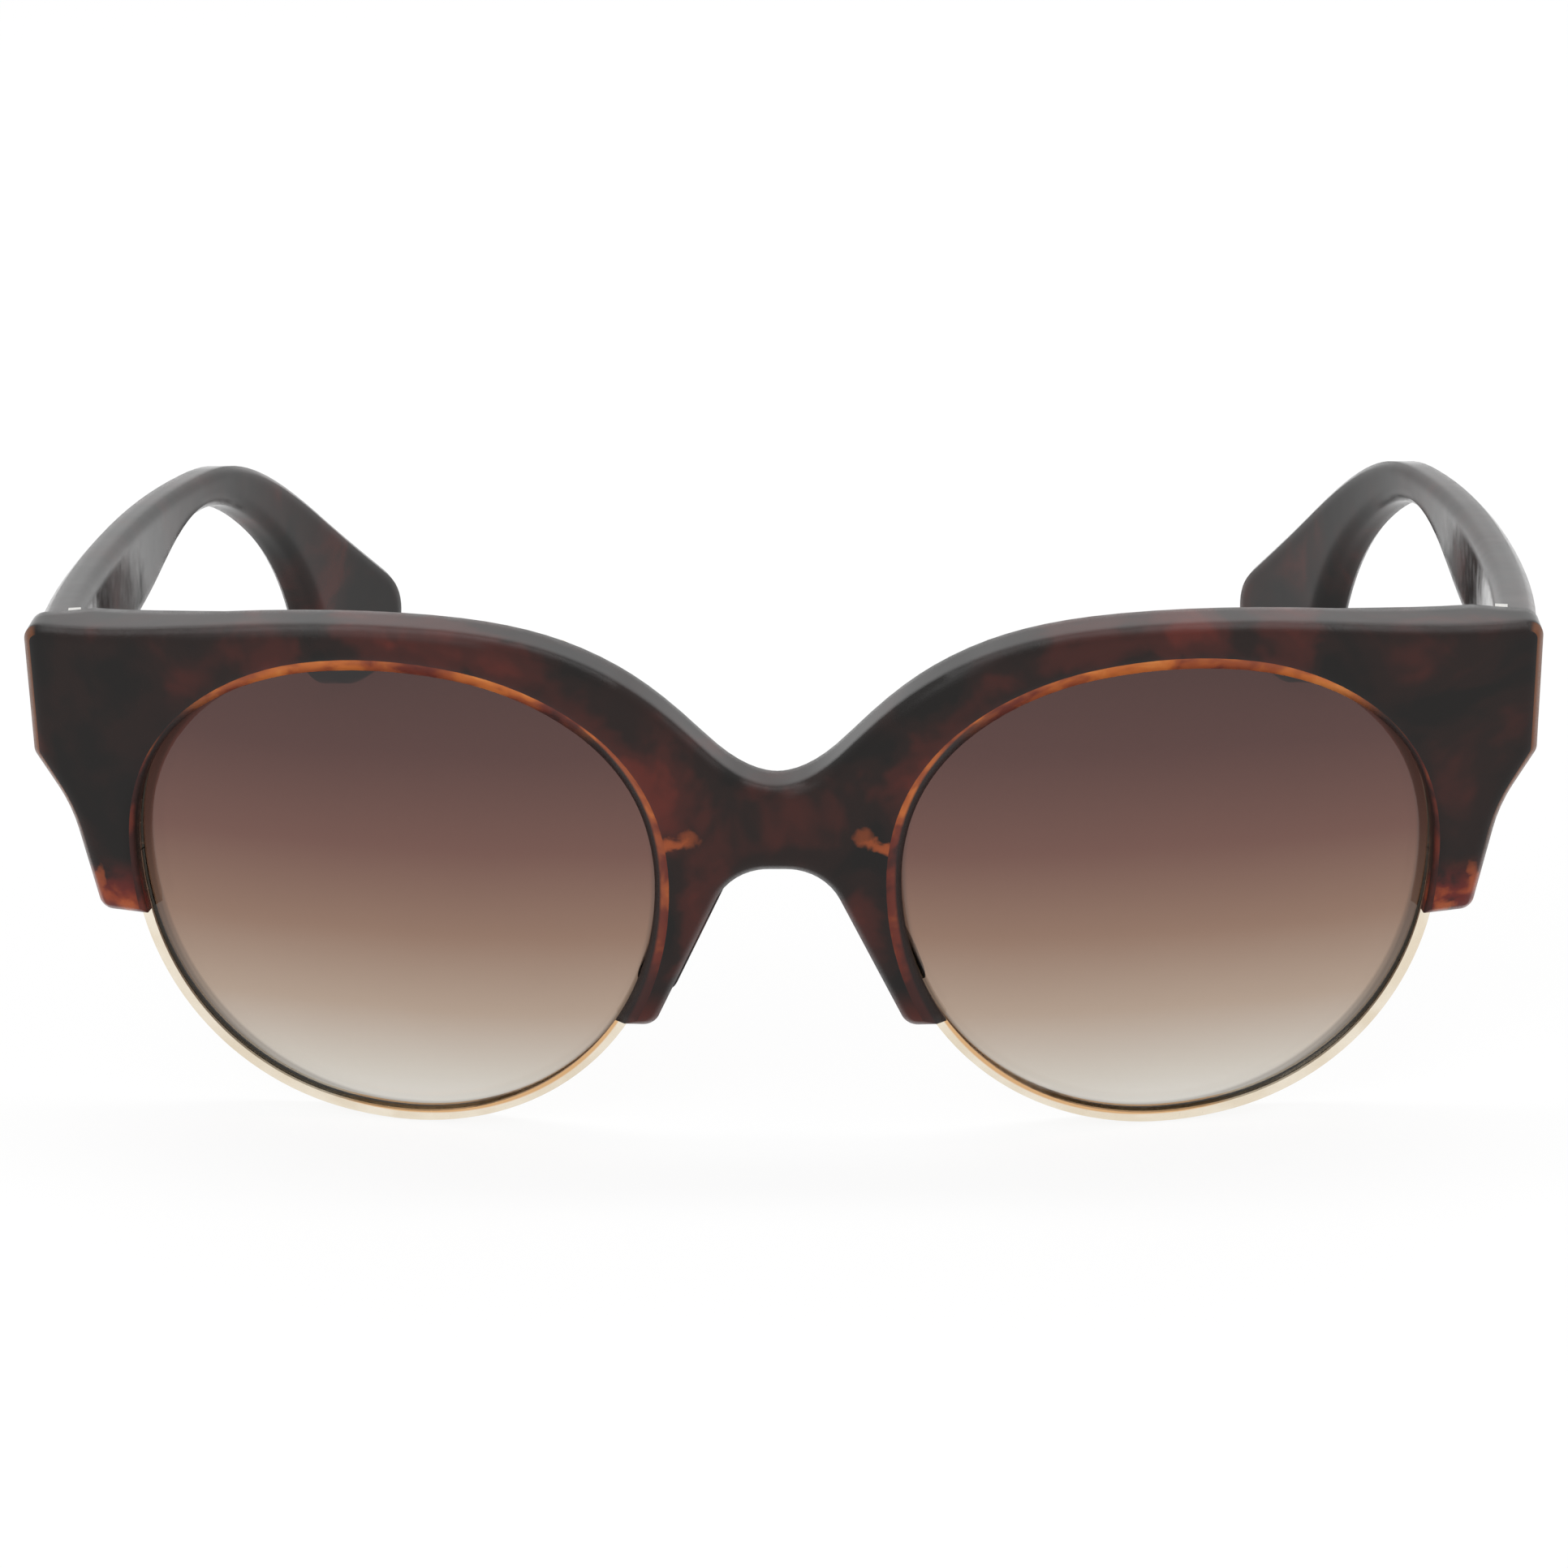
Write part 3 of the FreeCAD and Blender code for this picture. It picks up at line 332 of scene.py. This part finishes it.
def gold(name):
    """Pale gold plate: bright, a little uneven, with hairline polishing marks and painted shade along
    its inside.
    """
    t = Tree(name)
    point, x, y, z = t.place()
    tone = t.noise(point, 0.25, 3.0, 0.5, 0.0, 3.3)
    reach, flat, tall = t.eye_reach(x, y, z)
    # Painted shade: inside RIM_INSIDE the rim turns a deeper orange gold, for the shadow between rim
    # and lens.
    inner = t.step(reach, *RIM_INSIDE)
    face = t.ramp(tone, [(0.3, GOLD_DULL), (0.7, GOLD_PALE)])
    colour = t.mix(inner, GOLD_IN_SHADE, face)
    marks = t.noise(point, 2.2, 4.0, 0.7, 0.0, 5.0)
    t.surface(Base_Color=colour, Metallic=1.0, Roughness=t.step(marks, 0.3, 0.7, 0.16, 0.28),
              Normal=t.bump(marks, 0.08, 0.0001))
    return t.material


def steel(name, level):
    """Satin nickel silver, with fine turning marks."""
    t = Tree(name)
    point, x, y, z = t.place()
    tone = t.noise(point, 0.8, 4.0, 0.6, 0.0, 6.1)
    colour = t.ramp(tone, [
        (0.3, (level, level, level * 0.97)), (0.7, (level + 0.12, level + 0.11, level + 0.08))])
    marks = t.noise(point, 5.0, 3.0, 0.6, 0.0, 8.0)
    t.surface(Base_Color=colour, Metallic=1.0, Roughness=t.step(marks, 0.3, 0.7, 0.24, 0.38),
              Normal=t.bump(marks, 0.15, 0.0001))
    return t.material


def lens_glass(name):
    """A tint that runs from plum-brown at the top to pale grey, with painted shade in a band just
    inside the rim.

    A shadow ray passes straight through, tinted, so that the lens's shadow is as pale as its glass.
    """
    t = Tree(name)
    point, x, y, z = t.place()
    share = t.math("DIVIDE", t.math("SUBTRACT", z, LENS_LOW.z), LENS_HIGH.z - LENS_LOW.z)
    drift = t.math("MULTIPLY_ADD", t.noise(point, 0.05, 2.0, 0.5, 0.0, 2.0), 0.03, -0.015)
    tint = t.ramp(t.math("ADD", share, drift), [
        (0.00, srgb(221, 218, 211)), (0.10, srgb(204, 196, 185)), (0.25, srgb(174, 153, 135)),
        (0.42, srgb(141, 110, 92)), (0.60, srgb(108, 72, 62)), (0.80, srgb(80, 48, 43)),
        (0.97, srgb(68, 39, 35))], "LINEAR")
    reach, flat, tall = t.eye_reach(x, y, z)
    # Painted shade: a darker band just inside the rim, for the rim's inner wall and the lens's edge
    # seen through the glass.
    rim_shade = t.step(reach, *LENS_SHADE)
    shade = t.mix(rim_shade, tint, t.mix(0.6, tint, LENS_EDGE_SHADE))
    glass = t.surface(Base_Color=shade, Roughness=0.0, IOR=1.5, Specular_IOR_Level=0.25,
                      Transmission_Weight=1.0)
    clear = t.add("ShaderNodeBsdfTransparent")
    t.put(clear.inputs[0], shade)
    join = t.add("ShaderNodeMixShader")
    t.put(join.inputs[0], t.add("ShaderNodeLightPath").outputs["Is Shadow Ray"])
    t.put(join.inputs[1], glass.outputs[0])
    t.put(join.inputs[2], clear.outputs[0])
    t.put(t.out.inputs[0], join.outputs[0])
    return t.material


def dress(names, material):
    """Gives these nodes one material."""
    for name in names:
        mesh = NODES[name].data
        mesh.materials.clear()
        mesh.materials.append(material)


def both(*kinds):
    """The names of the left and right pieces of these kinds."""
    return [kind + side for kind in kinds for side in SIDES]


dress(["front_brow"], acetate("tortoiseshell_front", True))
dress(both("temple", "nose_pad"), acetate("tortoiseshell_plain", False))
dress(both("rim"), gold("pale_gold"))
dress(both("lens"), lens_glass("gradient_lens"))
dress(both("front_hinge", "temple_hinge", "hinge_screw", "rim_closing_screw", "rim_fixing_screws"),
      steel("nickel_silver", 0.6))
dress(both("temple_core"), steel("core_steel", 0.42))


# ---- Floor, backdrop and light ----------------------------------------------------------------
FLOOR_HALF = 6.0
FLOOR_GAP = 0.0002
FLOOR_PALE = (0.93, 0.93, 0.93, 1.0)
FLOOR_GLOW = 0.86
WHITE = (1.0, 1.0, 1.0, 1.0)
ROOM_LIGHT = 0.55
SEEN_RAYS = ("Is Camera Ray", "Is Glossy Ray", "Is Transmission Ray")


def floor():
    """A pale floor that looks white and keeps a soft shadow."""
    h = FLOOR_HALF
    mesh = bpy.data.meshes.new("floor")
    mesh.from_pydata([(-h, -h, 0), (h, -h, 0), (h, h, 0), (-h, h, 0)], [], [(0, 1, 2, 3)])
    plane = bpy.data.objects.new("floor", mesh)
    bpy.context.collection.objects.link(plane)
    plane.location.z = cad_box[0][2] - FLOOR_GAP
    t = Tree("floor_white")
    diffuse = t.add("ShaderNodeBsdfDiffuse")
    diffuse.inputs[0].default_value = FLOOR_PALE
    glow = t.add("ShaderNodeEmission")
    glow.inputs[0].default_value = WHITE
    glow.inputs[1].default_value = 1.0
    path = t.add("ShaderNodeLightPath")
    camera_ray, glossy_ray, passing_ray = (path.outputs[ray] for ray in SEEN_RAYS)
    seen = t.math("MAXIMUM", camera_ray, t.math("MAXIMUM", glossy_ray, passing_ray))
    join = t.add("ShaderNodeMixShader")
    t.put(join.inputs[0], t.math("MULTIPLY", seen, FLOOR_GLOW))
    t.put(join.inputs[1], diffuse.outputs[0])
    t.put(join.inputs[2], glow.outputs[0])
    t.put(t.out.inputs[0], join.outputs[0])
    mesh.materials.append(t.material)


def softbox(name, place, target, size, power):
    """A rectangular studio lamp that points at a target, in metres and watts."""
    data = bpy.data.lights.new(name, "AREA")
    data.shape = "RECTANGLE"
    data.size, data.size_y = size
    data.energy = power
    lamp = bpy.data.objects.new(name, data)
    bpy.context.collection.objects.link(lamp)
    lamp.location = place
    lamp.rotation_mode = "QUATERNION"
    lamp.rotation_quaternion = (Vector(target) - Vector(place)).to_track_quat("-Z", "Y")


def world():
    """Even light all round, seen as plain white by the camera, metal and glass."""
    studio = bpy.data.worlds.new("studio")
    bpy.context.scene.world = studio
    studio.use_nodes = True
    tree = studio.node_tree
    tree.nodes.clear()
    out = tree.nodes.new("ShaderNodeOutputWorld")
    join = tree.nodes.new("ShaderNodeMixShader")
    path = tree.nodes.new("ShaderNodeLightPath")
    seen = None
    for ray in SEEN_RAYS:
        either = tree.nodes.new("ShaderNodeMath")
        either.operation = "MAXIMUM"
        if seen:
            tree.links.new(seen, either.inputs[0])
        tree.links.new(path.outputs[ray], either.inputs[1])
        seen = either.outputs[0]
    tree.links.new(seen, join.inputs[0])
    for socket, strength in ((join.inputs[1], ROOM_LIGHT), (join.inputs[2], 1.0)):
        light = tree.nodes.new("ShaderNodeBackground")
        light.inputs[0].default_value = WHITE
        light.inputs[1].default_value = strength
        tree.links.new(light.outputs[0], socket)
    tree.links.new(join.outputs[0], out.inputs[0])


EYE_POINT = (0.01613, -0.42246, 0.19126)
LOOKING = (-0.03946, 0.91873, -0.39293)
ROLL_DEG = -1.023


def camera():
    """A viewpoint a little to the wearer's left of the middle, looking down."""
    data = bpy.data.cameras.new("camera")
    data.sensor_width = 36.0
    data.lens = 95.04
    data.clip_start = 0.01
    data.clip_end = 50.0
    cam = bpy.data.objects.new("camera", data)
    bpy.context.collection.objects.link(cam)
    cam.location = EYE_POINT
    cam.rotation_mode = "QUATERNION"
    roll = Matrix.Rotation(math.radians(ROLL_DEG), 4, "Z").to_quaternion()
    cam.rotation_quaternion = Vector(LOOKING).to_track_quat("-Z", "Y") @ roll
    bpy.context.scene.camera = cam


# The lamps: name, place, the point they face, size in metres, watts.
LAMPS = (
    ("over", (0.0, 0.15, 0.9), (0.0, 0.0, 0.02), (1.2, 0.12), 3.4),
    ("behind", (0.0, 1.3, 0.62), (0.0, 0.0, 0.05), (1.5, 0.4), 0.3),
    ("front", (-0.5, -0.8, 0.75), (0.0, 0.0, 0.03), (0.6, 0.5), 1.6),
    ("side", (0.9, -0.2, 0.5), (0.0, 0.0, 0.03), (0.5, 0.5), 1.0),
)

floor()
world()
for lamp in LAMPS:
    softbox(*lamp)
camera()
bpy.context.scene.view_settings.view_transform = "Standard"
